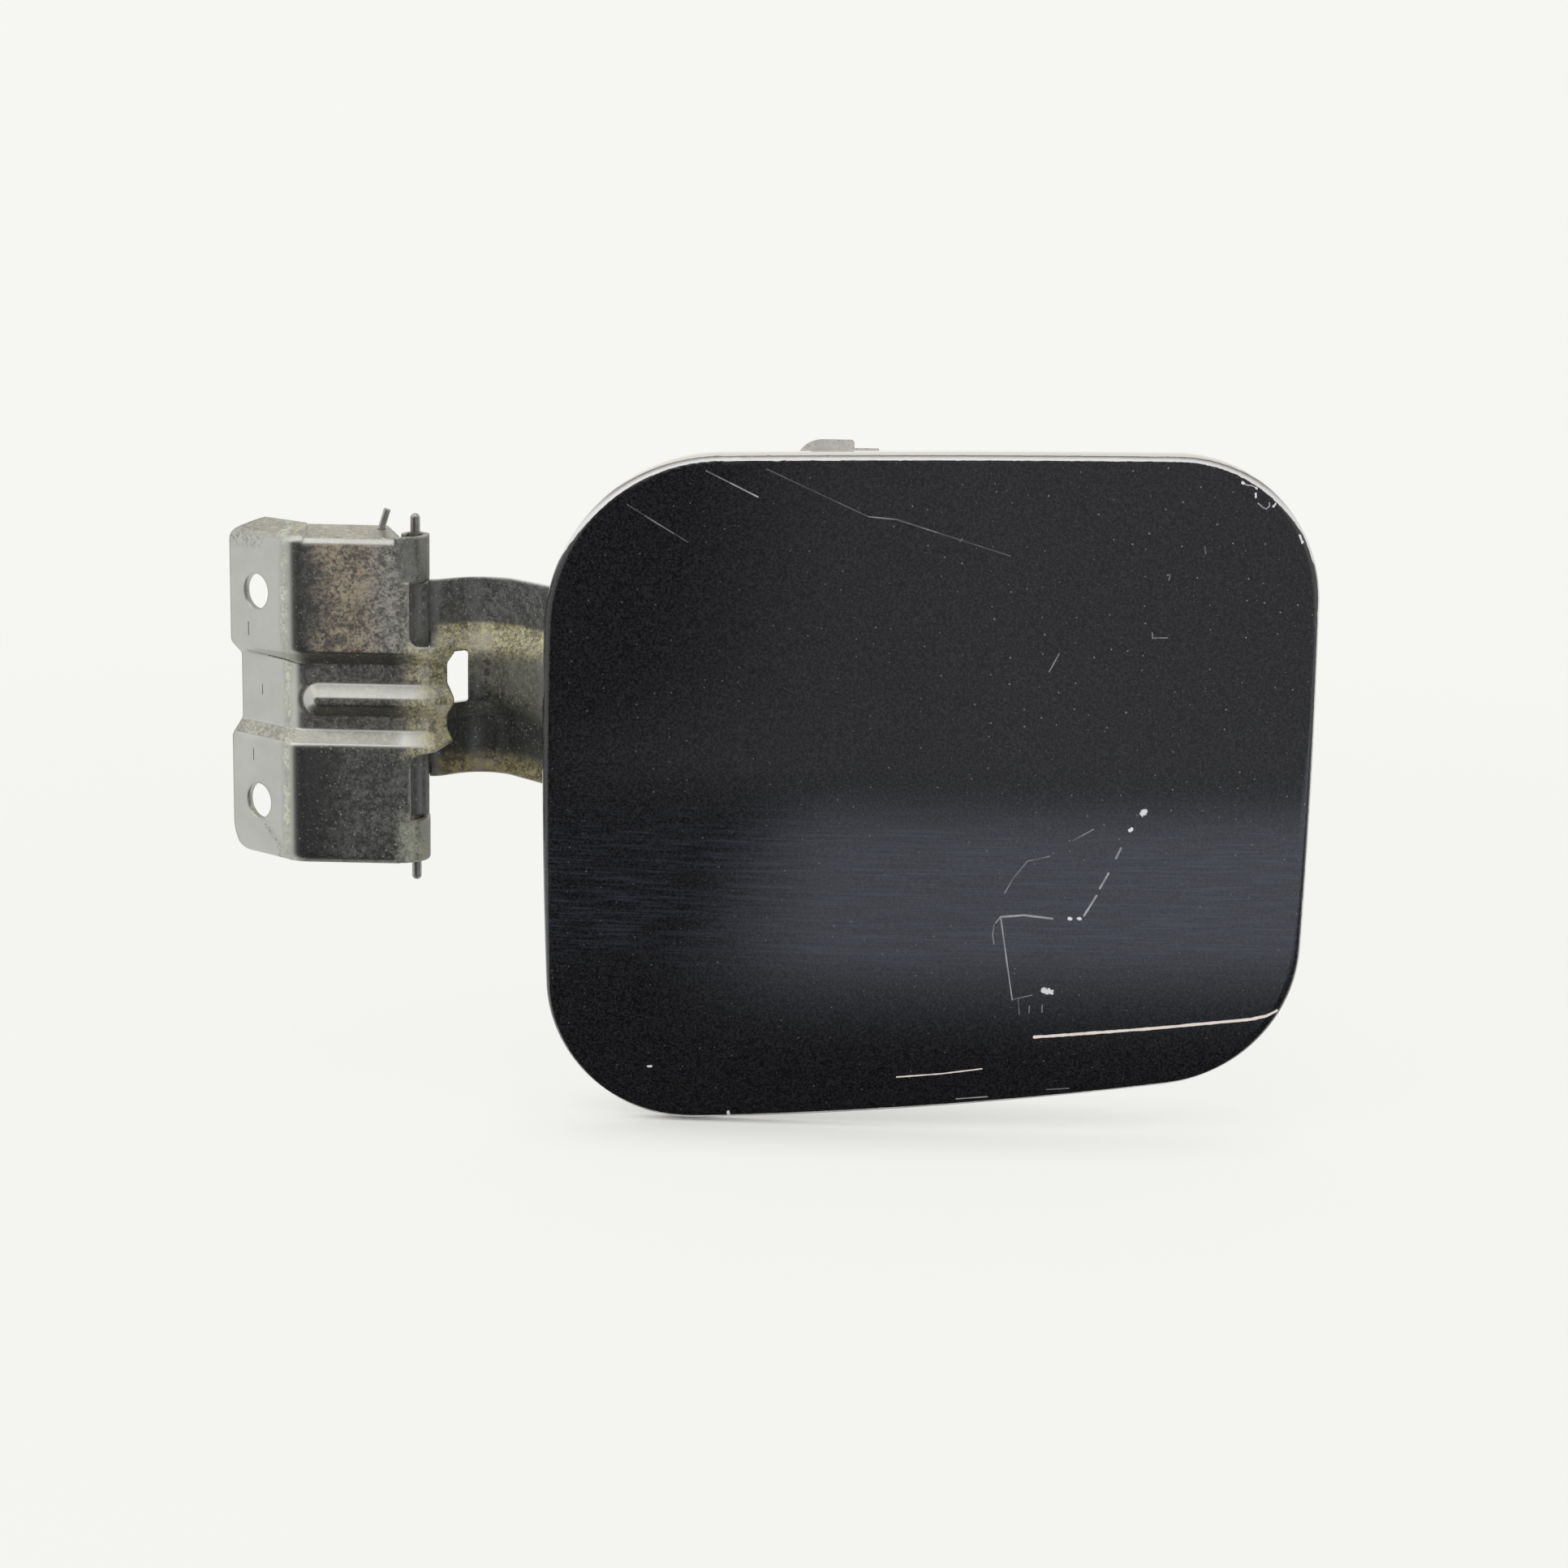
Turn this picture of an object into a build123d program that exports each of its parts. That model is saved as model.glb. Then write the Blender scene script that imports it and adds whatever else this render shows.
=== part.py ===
from build123d import *
import math
import os

os.makedirs("parts", exist_ok=True)

# Sizes of the whole, in millimetres
SHEET = 1.2                # hinge stampings
SKIN = 0.8                 # lid stampings
PIN_R = 1.5
FIT = 0.05                 # running fit of an eye on the pin
EYE_IN = PIN_R + FIT
EYE_OUT = EYE_IN + SHEET
SIDE_GAP = 0.4             # between neighbouring eyes along the pin

# Bracket
BOLT_SPACING = 42.0
BOLT_HOLE_R = 3.5
BOLT_LIFT = 0.95           # middle of the bolt holes above the level that heights are measured from
BOLT_TO_END = 7.9          # from the bolt holes to the flange's free edge
BOLT_TO_BEND = 7.6
FLANGE_TILT = 40.0
FLANGE_CORNER_LOW = 7.5
FLANGE_CORNER_HIGH = 5.0
BEND_R = 6.8
BOX_TOP = 7.0              # outer face of the boxes above the pin's axis
BOX_LEFT = -21.0           # where the boxes end, from the pin
BOX_LOW = -31.0            # outer corner of the lower box
BOX_HIGH = 33.4            # outer corner of the upper box
BOX_R = 2.2
WALL_FOOT = -4.4           # foot of the side walls, from the pin
WALL_LEAN = 1.4
LIP = 6.3                  # depth of the side walls along the flange
LIP_LEAN_HIGH = 2.3
LIP_LEAN_LOW = 0.8
VALLEY = 2.7               # depth of the valley below the boxes
PAD_LOW = -7.6             # inner edges of the boxes
PAD_HIGH = 11.2
FLOOR_LOW = -4.5           # edges of the valley's floor
FLOOR_HIGH = 8.5
RIB_MID = 1.4
RIB_HALF = 3.3
TONGUE_START = 0.8
TONGUE_R = 6.9
TONGUE_TURN = 41.0
TONGUE_END = 3.6
TONGUE_LOW = -8.9
TONGUE_HIGH = 12.5

# Eyes along the pin: lower end, upper end
ARM_EYES = [(-22.0, -0.6), (11.7, 24.6)]
BRACKET_EYES = [(BOX_LOW + 0.3, ARM_EYES[0][0] - SIDE_GAP), (ARM_EYES[1][1] + SIDE_GAP, BOX_HIGH + 0.5)]
PIN_ENDS = (-34.9, 37.2)
EYE_WINDOW = -0.4          # left edge of the windows over the arm's eyes

# Arm
ARM_LOW = -14.3
ARM_HIGH = 24.6
BEAD_MID = 5.3
BEAD_HALF = 8.7
BEAD_RISE = 3.2
SLOT = (0.2, 10.5)
SLOT_END = 10.0
ARM_PAD = 44.0

# Lid, measured from the pin
LID_LEFT = 27.2
LID_RIGHT = 173.7
LID_TOP = 54.2             # upper free corner
LID_FOOT = -80.1           # lower corner beside the hinge
LID_MID = 100.0
LID_MID_Z = -11.5
CROWN_FRONT = 24.0         # crown's highest point
CROWN_R_ACROSS = 900.0
CROWN_R_UP = 520.0
EDGE_R = 2.3
HEM_DEPTH = 4.2
HEM_WIDTH = 7.0
PAN_BACK = 12.0            # back of the dished inner panel
PAN_INSET = 13.0
PAN_DRAFT = 32.0

# Where the pin stands when the bolt circle is the origin
TILT = math.radians(FLANGE_TILT)
PIN_X = -BOX_LEFT + BEND_R * math.sin(TILT) + BOLT_TO_BEND * math.cos(TILT)
PIN_Y = BOX_TOP - BEND_R * (1 - math.cos(TILT)) - BOLT_TO_BEND * math.sin(TILT)


def side(z):
    """Plane across the pin at height z: first axis to the right, second to the front."""
    return Plane(origin=(PIN_X, PIN_Y, z), x_dir=(1, 0, 0), z_dir=(0, 0, -1))


def across(face, low, high):
    """Prism along the pin from a face drawn in the side plane."""
    return extrude(side(high) * face, high - low)


def front(face, back, ahead):
    """Prism towards the front from a face drawn as seen from the front, measured from the pin."""
    plane = Plane(origin=(PIN_X, PIN_Y - back, 0), x_dir=(1, 0, 0), z_dir=(0, -1, 0))
    return extrude(plane * face, ahead - back)


def rounded(points):
    """Edges of an open line through points that end in their corner radius."""
    edges = []
    here = Vector(*points[0][:-1])
    for before, at, after in zip(points, points[1:], points[2:]):
        corner = Vector(*at[:-1])
        radius = at[-1]
        back = (Vector(*before[:-1]) - corner).normalized()
        ahead = (Vector(*after[:-1]) - corner).normalized()
        half = math.radians(back.get_angle(ahead)) / 2
        if radius == 0 or abs(half - math.pi / 2) < 1e-6:
            edges.append(Line(here, corner))
            here = corner
            continue
        reach = radius / math.tan(half)
        start = corner + back * reach
        end = corner + ahead * reach
        middle = corner + (back + ahead).normalized() * (radius / math.sin(half) - radius)
        edges.append(Line(here, start))
        edges.append(ThreePointArc(start, middle, end))
        here = end
    edges.append(Line(here, Vector(*points[-1][:-1])))
    return edges


def beneath(points, depth):
    """The same line moved to the right of its run by depth, corner radii to suit."""
    moved = []
    spots = [Vector(*p[:2]) for p in points]
    runs = [(b - a).normalized() for a, b in zip(spots, spots[1:])]
    for i, spot in enumerate(spots):
        into = runs[max(i - 1, 0)]
        out = runs[min(i, len(runs) - 1)]
        normal_in = Vector(into.Y, -into.X)
        normal_out = Vector(out.Y, -out.X)
        bisector = (normal_in + normal_out).normalized()
        corner = spot + bisector * (depth / bisector.dot(normal_in))
        turns_right = into.X * out.Y - into.Y * out.X < 0
        radius = points[i][2]
        if radius:
            radius = max(radius - depth, 0.2) if turns_right else radius + depth
        moved.append((corner.X, corner.Y, radius))
    return moved


def strip(points, depth):
    """Face of a sheet whose upper line is given from left to right."""
    upper = rounded(points)
    under = beneath(points, depth)
    lower = rounded(under)
    first = Line(Vector(*points[0][:2]), Vector(*under[0][:2]))
    last = Line(Vector(*points[-1][:2]), Vector(*under[-1][:2]))
    return make_face(upper + lower + [first, last])


def stand(x, w, angle):
    """Plane of a cross-section: first axis up the pin, second out of the sheet's front."""
    a = math.radians(angle)
    return Plane(origin=(PIN_X + x, PIN_Y - w, 0), x_dir=(0, 0, 1), z_dir=(math.cos(a), -math.sin(a), 0))


class Run:
    """Carries a cross-section along straight lengths and bends, as a press brake would."""

    def __init__(self, x, w, angle):
        self.x = x
        self.w = w
        self.angle = angle
        self.solids = []

    def straight(self, section, length):
        a = math.radians(self.angle)
        self.solids.append(extrude(stand(self.x, self.w, self.angle) * section, length))
        self.x += length * math.cos(a)
        self.w += length * math.sin(a)

    def bend(self, section, radius, turn):
        sense = 1 if turn > 0 else -1
        a = math.radians(self.angle)
        cx = self.x - sense * radius * math.sin(a)
        cw = self.w + sense * radius * math.cos(a)
        axis = Axis((PIN_X + cx, PIN_Y - cw, 0), (0, 0, -sense))
        self.solids.append(revolve(stand(self.x, self.w, self.angle) * section, axis, abs(turn)))
        self.angle += turn
        b = math.radians(self.angle)
        self.x = cx + sense * radius * math.sin(b)
        self.w = cw - sense * radius * math.cos(b)

    def solid(self):
        whole = self.solids[0]
        for piece in self.solids[1:]:
            whole = whole + piece
        return whole


def keep_part(shape, name):
    """Writes a part with the middle of the bolt holes at height zero."""
    export_step(Pos(0, 0, -BOLT_LIFT) * shape, f"parts/{name}.step")


def rectangle(x0, x1, y0, y1):
    return Pos((x0 + x1) / 2, (y0 + y1) / 2) * Rectangle(x1 - x0, y1 - y0)


# Hinge bracket
low_wall = [(BOX_LOW - WALL_LEAN, WALL_FOOT - BOX_TOP, 0), (BOX_LOW, 0, BOX_R)]
high_wall = [(BOX_HIGH, 0, BOX_R), (BOX_HIGH + WALL_LEAN, WALL_FOOT - BOX_TOP, 0)]
low_lip = [(BOX_LOW - LIP_LEAN_LOW, -LIP, 0), (BOX_LOW, 0, BOX_R)]
high_lip = [(BOX_HIGH, 0, BOX_R), (BOX_HIGH + LIP_LEAN_HIGH, -LIP, 0)]
low_slope = [(PAD_LOW, 0, 1.9), (FLOOR_LOW, -VALLEY, 1.0)]
high_slope = [(FLOOR_HIGH, -VALLEY, 1.0), (PAD_HIGH, 0, 1.9)]
rib = [(RIB_MID - RIB_HALF, -VALLEY, 0.9), (RIB_MID, 0.2, 1.6), (RIB_MID + RIB_HALF, -VALLEY, 0.9)]
tongue_low = (TONGUE_LOW - 2, 0, 0)
tongue_high = (TONGUE_HIGH + 3, 0, 0)

flange_section = strip(low_lip + low_slope + high_slope + high_lip, SHEET)
box_plain = strip(low_wall + low_slope + high_slope + high_wall, SHEET)
box_section = strip(low_wall + low_slope + rib + high_slope + high_wall, SHEET)
tongue_section = strip([tongue_low] + low_slope + rib + high_slope + [tongue_high], SHEET)

RIB_START = BOX_LEFT + 2.6

run = Run(
    BOX_LEFT - BEND_R * math.sin(TILT) - (BOLT_TO_BEND + BOLT_TO_END) * math.cos(TILT),
    BOX_TOP - BEND_R * (1 - math.cos(TILT)) - (BOLT_TO_BEND + BOLT_TO_END) * math.sin(TILT),
    FLANGE_TILT,
)
run.straight(flange_section, BOLT_TO_BEND + BOLT_TO_END)
run.bend(flange_section, BEND_R, -FLANGE_TILT)
run.straight(box_plain, RIB_START - BOX_LEFT)
run.straight(box_section, EYE_WINDOW - RIB_START)
run.straight(tongue_section, TONGUE_START - EYE_WINDOW)
run.bend(tongue_section, TONGUE_R, -TONGUE_TURN)
run.straight(tongue_section, TONGUE_END)
bracket = run.solid()

# Rounded blind end of the rib
dome_line = [(0, -0.4, 0), (0.7, -0.4, 0.9), (RIB_HALF, -VALLEY, 0.9), (RIB_HALF + 1.1, -VALLEY, 0)]
dome_spot = (PIN_X + RIB_START, PIN_Y - BOX_TOP, RIB_MID)
dome_axis = Axis(dome_spot, (0, -1, 0))
dome_place = Plane(origin=dome_spot, x_dir=(-1, 0, 0), z_dir=(0, 0, 1))
dome_skin = revolve(dome_place * strip(dome_line, SHEET), dome_axis, 360)
dome_under = beneath(dome_line, SHEET)[:3]
dome_fill = revolve(
    dome_place * make_face(Polyline((0, dome_under[0][1]), (dome_under[1][0], dome_under[1][1]),
                                    (dome_under[2][0], dome_under[2][1]), (dome_under[2][0], -VALLEY - SHEET - 1),
                                    (0, -VALLEY - SHEET - 1), close=True)),
    dome_axis, 360)
left_half = Pos(PIN_X + RIB_START - 10, PIN_Y - BOX_TOP, RIB_MID) * Box(20, 30, 30)
bracket = bracket - (dome_fill & left_half) + (dome_skin & left_half)

# Side walls go on behind the bend
wall_start = stand(BOX_LEFT - BEND_R, BOX_TOP, 0)
bend_inside = across(Pos(BOX_LEFT, BOX_TOP - BEND_R) * Circle(BEND_R - BOX_R), 2 * BOX_LOW, 2 * BOX_HIGH)
for line in (low_wall + [(BOX_LOW + 3, 0, 0)], [(BOX_HIGH - 3, 0, 0)] + high_wall):
    bracket = bracket + (extrude(wall_start * strip(line, SHEET), BEND_R + 0.5) & bend_inside)

# Side walls keep a slanted outline, seen along the pin
foot_right = make_face(Polyline((0, BOX_TOP - SHEET - 2.2), (-2.8, BOX_TOP - SHEET - 2.4), (-6.0, WALL_FOOT - 0.1),
                                (-6.0, WALL_FOOT - 3), (0, WALL_FOOT - 3), close=True))
for low, high in [(2 * BOX_LOW, BOX_LOW + 3.3), (BOX_HIGH - 3.3, 2 * BOX_HIGH)]:
    bracket = bracket - across(foot_right, low, high)

# Flange corners, cut square to the flange
flange_face = Plane(origin=(0, 0, 0), x_dir=(math.cos(TILT), -math.sin(TILT), 0), z_dir=(-math.sin(TILT), -math.cos(TILT), 0))
edge_low = BOX_LOW - WALL_LEAN
edge_high = BOX_HIGH + LIP_LEAN_HIGH + 0.2
flange_line = rounded([
    (BOLT_TO_BEND, edge_low, 0), (-BOLT_TO_END, edge_low, FLANGE_CORNER_LOW),
    (-BOLT_TO_END, edge_high, FLANGE_CORNER_HIGH), (BOLT_TO_BEND, edge_high, 0)])
flange_blank = make_face(flange_line + [Line((BOLT_TO_BEND, edge_high), (BOLT_TO_BEND, edge_low))])
flange_field = rectangle(-2 * BOLT_TO_END, BOLT_TO_BEND, 2 * edge_low, 2 * edge_high)
bracket = bracket - extrude(flange_face * (flange_field - flange_blank), LIP + 4, both=True)

# Bolt holes
for sign in (-1, 1):
    hole = extrude(flange_face * (Pos(0, BOLT_LIFT + sign * BOLT_SPACING / 2) * Circle(BOLT_HOLE_R)), 12, both=True)
    bracket = bracket - hole

# Tongue outline and the windows over the arm's eyes, seen from the front
reach = 12.0
upper_window = make_face(rounded([
    (EYE_WINDOW, 2 * BOX_HIGH, 0), (EYE_WINDOW, TONGUE_HIGH, 2.0), (5.2, TONGUE_HIGH - 0.1, 2.0),
    (8.6, TONGUE_HIGH + 1.7, 0.8), (reach, TONGUE_HIGH - 2.4, 0)])
    + [Line((reach, TONGUE_HIGH - 2.4), (reach, 2 * BOX_HIGH)), Line((reach, 2 * BOX_HIGH), (EYE_WINDOW, 2 * BOX_HIGH))])
lower_window = make_face(rounded([
    (EYE_WINDOW, 2 * BOX_LOW, 0), (EYE_WINDOW, TONGUE_LOW - 0.3, 2.6), (4.5, TONGUE_LOW + 0.5, 4.0),
    (9.2, TONGUE_LOW + 2.9, 1.8), (reach, TONGUE_LOW + 4.2, 0)])
    + [Line((reach, TONGUE_LOW + 4.2), (reach, 2 * BOX_LOW)), Line((reach, 2 * BOX_LOW), (EYE_WINDOW, 2 * BOX_LOW))])
bracket = bracket - front(upper_window, -30, 30) - front(lower_window, -30, 30)

# Ears over the windows' outer ends and their rolled eyes
drop = BOX_TOP - 2 * EYE_OUT
EAR_START = -EYE_OUT - 0.5
ear_outer = [
    Line((EAR_START, BOX_TOP), (-EYE_OUT, BOX_TOP)),
    CenterArc((-EYE_OUT, drop), 2 * EYE_OUT, 90, -90),
    Line((EYE_OUT, drop), (EYE_OUT, 0)),
    CenterArc((0, 0), EYE_OUT, 0, -205),
]
ear_inner = [
    Line((EAR_START, BOX_TOP - SHEET), (-EYE_OUT, BOX_TOP - SHEET)),
    CenterArc((-EYE_OUT, drop), 2 * EYE_OUT - SHEET, 90, -90),
    Line((EYE_IN, drop), (EYE_IN, 0)),
    CenterArc((0, 0), EYE_IN, 0, -205),
]
ear = make_face(ear_outer + ear_inner + [
    Line(ear_outer[0] @ 0, ear_inner[0] @ 0), Line(ear_outer[3] @ 1, ear_inner[3] @ 1)])
beyond = make_face(Polyline((-EYE_OUT, BOX_TOP + 5), (20, BOX_TOP + 5), (20, -20), (-EYE_OUT, -20), close=True))
for low, high in BRACKET_EYES:
    bracket = bracket - across(beyond, low - 10 if low < 0 else low, high if low < 0 else high + 10)
    bracket = bracket + across(ear, low, high)

# Holes in the side walls for the spring's ends
SPRING_R = 0.7
SPRING_HOLE = (-6.8, -1.6)
spring_hole = Pos(*SPRING_HOLE) * Circle(SPRING_R + 0.3)
bracket = bracket - across(spring_hole, BOX_HIGH - 4, 2 * BOX_HIGH) - across(spring_hole, 2 * BOX_LOW, BOX_LOW + 4)
keep_part(bracket, "hinge_bracket")

# Hinge pin with reduced, rounded ends
TIP_R = 0.95
pin = across(Circle(PIN_R), BRACKET_EYES[0][0] - 0.3, BRACKET_EYES[1][1] + 0.3)
pin = pin + across(Circle(TIP_R), *PIN_ENDS)
for end, sign in zip(PIN_ENDS, (-1, 1)):
    pin = pin + Pos(PIN_X, PIN_Y, end - sign * 0.25) * Sphere(TIP_R)
keep_part(pin, "hinge_pin")

# Hinge arm
flat_points = [(ARM_LOW, 0, 0), (ARM_HIGH, 0, 0)]
band_points = [(ARM_LOW, 1.2, 0), (ARM_LOW + 2.6, 0, 2.4), (ARM_HIGH, 0, 0)]
crown_half = 4.4
bead_points = [
    (ARM_LOW, 1.2, 0), (ARM_LOW + 2.6, 0, 2.4),
    (BEAD_MID - BEAD_HALF, 0, 1.6), (BEAD_MID - crown_half, BEAD_RISE, 4.5),
    (BEAD_MID + crown_half, BEAD_RISE, 4.5), (BEAD_MID + BEAD_HALF, 0, 1.6),
    (ARM_HIGH, 0, 0)]
flat_section = strip(flat_points, SHEET)
band_section = strip(band_points, SHEET)
bead_section = strip(bead_points, SHEET)

DIP_R = 8.0
NECK_R = 4.0
NECK_TURN = 42.0
RISE_TURN = 48.0
PAD_R = 5.0
RISE = 10.0
arm_run = Run(0, -EYE_IN, 0)
arm_run.straight(flat_section, 2.6)
arm_run.bend(bead_section, NECK_R, -NECK_TURN)
arm_run.straight(bead_section, 3.0)
arm_run.bend(bead_section, DIP_R, NECK_TURN + RISE_TURN)
arm_run.straight(bead_section, RISE)
dome_x = arm_run.x
dome_w = arm_run.w
rest_of_rise = (PAN_BACK - PAD_R * (1 - math.cos(math.radians(RISE_TURN))) - dome_w) / math.sin(math.radians(RISE_TURN))
arm_run.straight(band_section, rest_of_rise)
arm_run.bend(band_section, PAD_R, -RISE_TURN)
pad_x = arm_run.x
arm_run.straight(flat_section, ARM_PAD)
arm = arm_run.solid()

# Rounded blind end of the bead
bead_line = [(0, BEAD_RISE, 0), (crown_half, BEAD_RISE, 4.5), (BEAD_HALF, 0, 1.6), (BEAD_HALF + 1.2, 0, 0)]
bead_place = stand(dome_x, dome_w, RISE_TURN)
bead_normal = bead_place.y_dir
bead_origin = bead_place.origin + Vector(0, 0, BEAD_MID)
bead_axis = Axis(bead_origin, bead_normal)
bead_plane = Plane(origin=bead_origin, x_dir=bead_place.z_dir, z_dir=bead_place.z_dir.cross(bead_normal))
bead_skin = revolve(bead_plane * strip(bead_line, SHEET), bead_axis, 360)
bead_under = beneath(bead_line, SHEET)[:3]
bead_fill = revolve(
    bead_plane * make_face(Polyline((0, bead_under[0][1]), (bead_under[1][0] - 0.6, bead_under[1][1]),
                                    (bead_under[2][0] - 0.3, bead_under[2][1]), (bead_under[2][0] - 0.3, -SHEET - 1),
                                    (0, -SHEET - 1), close=True)),
    bead_axis, 360)
ahead_half = extrude(bead_place * (Pos(BEAD_MID, 0) * Rectangle(30, 30)), 20)
arm = arm - (bead_fill & ahead_half) + (bead_skin & ahead_half)

# Slot for the tongue, and the gap between the eyes
slot = make_face(rounded([
    (-6, SLOT[0], 0), (SLOT_END, SLOT[0], 0.8), (SLOT_END, SLOT[1], 0.8), (-6, SLOT[1], 0)])
    + [Line((-6, SLOT[1]), (-6, SLOT[0]))])
arm = arm - front(slot, -20, 10)
between = rectangle(-8, 2.8, SLOT[0] - 0.8, ARM_EYES[1][0])
arm = arm - front(between, -20, 10)

# Rolled eyes
EYE_TURN = 255
eye_outer = CenterArc((0, 0), EYE_OUT, -90, -EYE_TURN)
eye_inner = CenterArc((0, 0), EYE_IN, -90, -EYE_TURN)
eye = make_face([eye_outer, eye_inner, Line(eye_outer @ 0, eye_inner @ 0), Line(eye_outer @ 1, eye_inner @ 1)])
for low, high in ARM_EYES:
    arm = arm + across(eye, low, high)
    arm = arm - across(Circle(EYE_IN), low - 1, high + 1)

# Welding pad narrows to a rounded end
pad_end = pad_x + ARM_PAD
for sign, edge in [(-1, ARM_LOW), (1, ARM_HIGH)]:
    trim = make_face(Polyline((pad_x + 4, edge), (pad_end + 1, edge - sign * 7), (pad_end + 1, edge + sign * 5),
                              (pad_x + 4, edge + sign * 5), close=True))
    arm = arm - front(trim, 0, 30)
WELD_R = 2.6
WELD_DENT = 0.35
WELDS = [(44.0, 16.0), (44.0, -6.5), (70.0, 12.5), (70.0, -2.5)]
for x, z in WELDS:
    arm = arm - front(Pos(x, z) * Circle(WELD_R), PAN_BACK - SHEET - 1, PAN_BACK - SHEET + WELD_DENT)
pad_corners = [e for e in arm.edges().filter_by(Axis.Y) if e.center().X > PIN_X + pad_end - 0.5]
arm = fillet(pad_corners, 6)
keep_part(arm, "hinge_arm")

# Lid outline, seen from the front: corner, corner radius, middle of the side that follows it
LID = [
    ((LID_LEFT + 0.2, LID_TOP - 2.8), 34.5, (LID_MID, LID_TOP - 0.5)),
    ((LID_RIGHT, LID_TOP), 28.0, (LID_RIGHT + 0.7, -5.0)),
    ((LID_RIGHT + 0.2, LID_FOOT + 14.1), 29.0, (LID_MID, LID_FOOT + 4.9)),
    ((LID_LEFT + 1.4, LID_FOOT), 28.0, (LID_LEFT - 0.6, -14.0)),
]


def lid_plan(amount):
    """The lid's outline moved inwards."""
    spots = [Vector(*corner) for corner, radius, middle in LID]
    sides = [(spots[(i + 1) % 4] - spots[i]).normalized() for i in range(4)]
    inward = [Vector(d.Y, -d.X) for d in sides]
    corners = []
    for i in range(4):
        bisector = (inward[i - 1] + inward[i]).normalized()
        corners.append(spots[i] + bisector * (amount / bisector.dot(inward[i])))
    middles = [Vector(*LID[i][2]) + inward[i] * amount for i in range(4)]
    plan = make_face([ThreePointArc(corners[i], middles[i], corners[(i + 1) % 4]) for i in range(4)])
    for corner, side_data in zip(corners, LID):
        nearest = min(plan.vertices(), key=lambda v: (corner - v.center()).length)
        plan = fillet(nearest, side_data[1] - amount)
    return plan


def crown(depth):
    """Everything behind the crowned surface, moved back by depth."""
    across_r = CROWN_R_ACROSS - depth
    up_r = CROWN_R_UP - depth
    tall = 110
    bulge = math.sqrt(up_r**2 - tall**2)
    centre = across_r - up_r
    top = (centre + bulge, tall)
    profile = make_face([
        ThreePointArc(top, (across_r, 0), (centre + bulge, -tall)),
        Line((centre + bulge, -tall), (across_r - 60, -tall)),
        Line((across_r - 60, -tall), (across_r - 60, tall)),
        Line((across_r - 60, tall), top)])
    turn = 14
    pivot = (PIN_X + LID_MID, PIN_Y - CROWN_FRONT + CROWN_R_ACROSS, LID_MID_Z)
    plane = Plane(origin=pivot, x_dir=(0, -1, 0), z_dir=(-1, 0, 0))
    solid = revolve(plane * profile, Axis(pivot, (0, 0, 1)), turn)
    return solid.rotate(Axis(pivot, (0, 0, 1)), -turn / 2)


def lid_block(amount, front_depth, back_depth):
    """Block between two crowned surfaces, inside the outline moved in by amount."""
    prism = front(lid_plan(amount), -10, 40)
    return (prism & crown(front_depth)) - crown(back_depth)


# Outer panel
block = lid_block(0, 0, HEM_DEPTH)
block = fillet(block.faces().sort_by(Axis.Y)[0].edges(), EDGE_R)
hollow = lid_block(SKIN, SKIN, HEM_DEPTH - SKIN)
hollow = fillet(hollow.faces().sort_by(Axis.Y)[0].edges(), EDGE_R - SKIN)
opening = lid_block(HEM_WIDTH, HEM_DEPTH - SKIN - 0.1, HEM_DEPTH + 1)
skin = block - hollow - opening
keep_part(skin, "outer_panel")

# Inner panel


def from_pan(height):
    """Plane seen from the front, at a height above the back of the dish."""
    return Plane(origin=(PIN_X, PIN_Y - PAN_BACK - height, 0), x_dir=(1, 0, 0), z_dir=(0, -1, 0))


PAN_TALL = 10.0
pan_slope = math.tan(math.radians(PAN_DRAFT))
wall_inset = SKIN * math.tan(math.radians(45 - PAN_DRAFT / 2))
rim_front = HEM_DEPTH - 2 * SKIN
ring = lid_block(SKIN + 0.6, rim_front, HEM_DEPTH - SKIN)
pan_out = loft([from_pan(0) * lid_plan(PAN_INSET),
                from_pan(PAN_TALL) * lid_plan(PAN_INSET - PAN_TALL * pan_slope)], ruled=True)
pan_in = loft([from_pan(SKIN) * lid_plan(PAN_INSET + wall_inset),
               from_pan(SKIN + PAN_TALL) * lid_plan(PAN_INSET + wall_inset - PAN_TALL * pan_slope)], ruled=True)
inner = (ring + (pan_out & crown(rim_front))) - pan_in

# Two shallow stiffening panels pressed into the floor
PRESS = 2.2
PRESS_DRAFT = 35.0
press_slope = math.tan(math.radians(PRESS_DRAFT))
press_inset = SKIN * math.tan(math.radians(45 - PRESS_DRAFT / 2))
PRESS_CORNER = 9.0
PRESS_PANELS = [(48.0, 90.0, -54.0, -27.0), (97.0, 133.0, -48.0, 27.0)]
for x0, x1, z0, z1 in PRESS_PANELS:
    wide = x1 - x0
    tall = z1 - z0
    place = Pos((x0 + x1) / 2, (z0 + z1) / 2)

    def pressed(shrink, start, rise):
        narrow = shrink + rise * press_slope
        return loft([from_pan(start) * place * RectangleRounded(wide - 2 * shrink, tall - 2 * shrink, PRESS_CORNER - shrink),
                     from_pan(start + rise) * place * RectangleRounded(wide - 2 * narrow, tall - 2 * narrow, PRESS_CORNER - narrow)],
                    ruled=True)

    inner = inner + pressed(0, SKIN - 0.05, PRESS + 0.05)
    inner = inner - pressed(press_inset, -0.001, PRESS + 0.001)

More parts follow.
